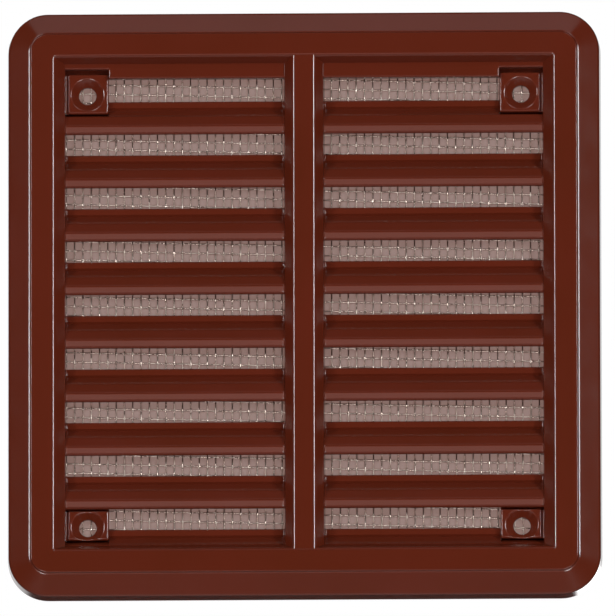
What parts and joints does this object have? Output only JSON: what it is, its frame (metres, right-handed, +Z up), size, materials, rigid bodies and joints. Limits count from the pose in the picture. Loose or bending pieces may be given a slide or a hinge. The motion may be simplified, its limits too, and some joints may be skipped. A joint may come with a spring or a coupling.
{
  "type": "ventilation grille",
  "caption": "Square moulded louvre grille for surface mounting, with fixed louvres in two bays, countersunk screw pads in the corners and a woven insect mesh behind.",
  "frame": {"origin": "centre of the four screw holes, on the back face of the screw pads", "axes": "+Z up, -Y out of the louvred front, +Y into the wall, +X to the right as seen from the front"},
  "size_m": [0.165, 0.0096, 0.165],
  "materials": {
    "brown_plastic": "glossy",
    "mesh_wire": "drawn wire"
  },
  "bodies": {
    "root": {"front_frame": "brown_plastic", "mullion": "brown_plastic", "top_valance_left": "brown_plastic", "top_valance_right": "brown_plastic", "bottom_sill_left": "brown_plastic", "bottom_sill_right": "brown_plastic", "louvre_left_1": "brown_plastic", "louvre_left_2": "brown_plastic", "louvre_left_3": "brown_plastic", "louvre_left_4": "brown_plastic", "louvre_left_5": "brown_plastic", "louvre_left_6": "brown_plastic", "louvre_left_7": "brown_plastic", "louvre_left_8": "brown_plastic", "louvre_right_1": "brown_plastic", "louvre_right_2": "brown_plastic", "louvre_right_3": "brown_plastic", "louvre_right_4": "brown_plastic", "louvre_right_5": "brown_plastic", "louvre_right_6": "brown_plastic", "louvre_right_7": "brown_plastic", "louvre_right_8": "brown_plastic", "screw_pad_top_left": "brown_plastic", "screw_pad_top_right": "brown_plastic", "screw_pad_bottom_left": "brown_plastic", "screw_pad_bottom_right": "brown_plastic", "mesh_warp_wires": "mesh_wire", "mesh_weft_wires": "mesh_wire", "mesh_stakes": "brown_plastic"}
  },
  "joints": []
}
